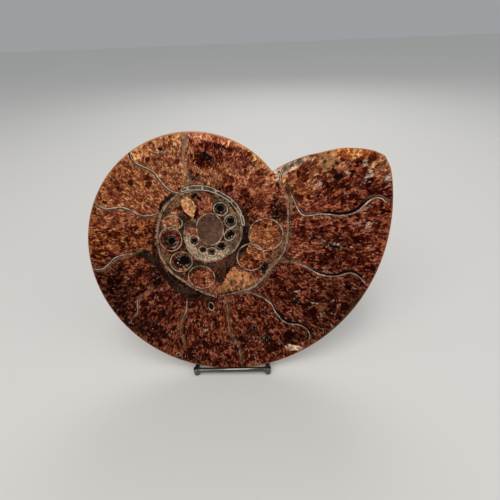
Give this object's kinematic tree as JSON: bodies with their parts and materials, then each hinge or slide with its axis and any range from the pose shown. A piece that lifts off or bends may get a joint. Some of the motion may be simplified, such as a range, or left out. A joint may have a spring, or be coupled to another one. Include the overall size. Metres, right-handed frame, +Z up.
{
  "type": "ammonite fossil half on a stand",
  "caption": "Half of a sawn and polished ammonite, chambers and crystal filling in view, leaning on a small wire stand.",
  "frame": {"origin": "on the table, under the middle of the object's bounding box", "axes": "+Z up, +X to the right along the sawn face, +Y away from the viewer, so the sawn face looks towards -Y and leans back"},
  "size_m": [0.2004, 0.0752, 0.1566],
  "materials": {
    "fossil": "polished on the sawn face, satin on the natural back",
    "stand_metal": "polished dark nickel"
  },
  "bodies": {
    "root": {"ammonite_half": "fossil", "front_bar": "stand_metal", "rear_bar": "stand_metal", "left_side_rod": "stand_metal", "right_side_rod": "stand_metal", "front_left_foot": "stand_metal", "front_right_foot": "stand_metal", "rear_left_foot": "stand_metal", "rear_right_foot": "stand_metal", "backrest_left_leg": "stand_metal", "backrest_right_leg": "stand_metal", "backrest_top": "stand_metal"}
  },
  "joints": []
}
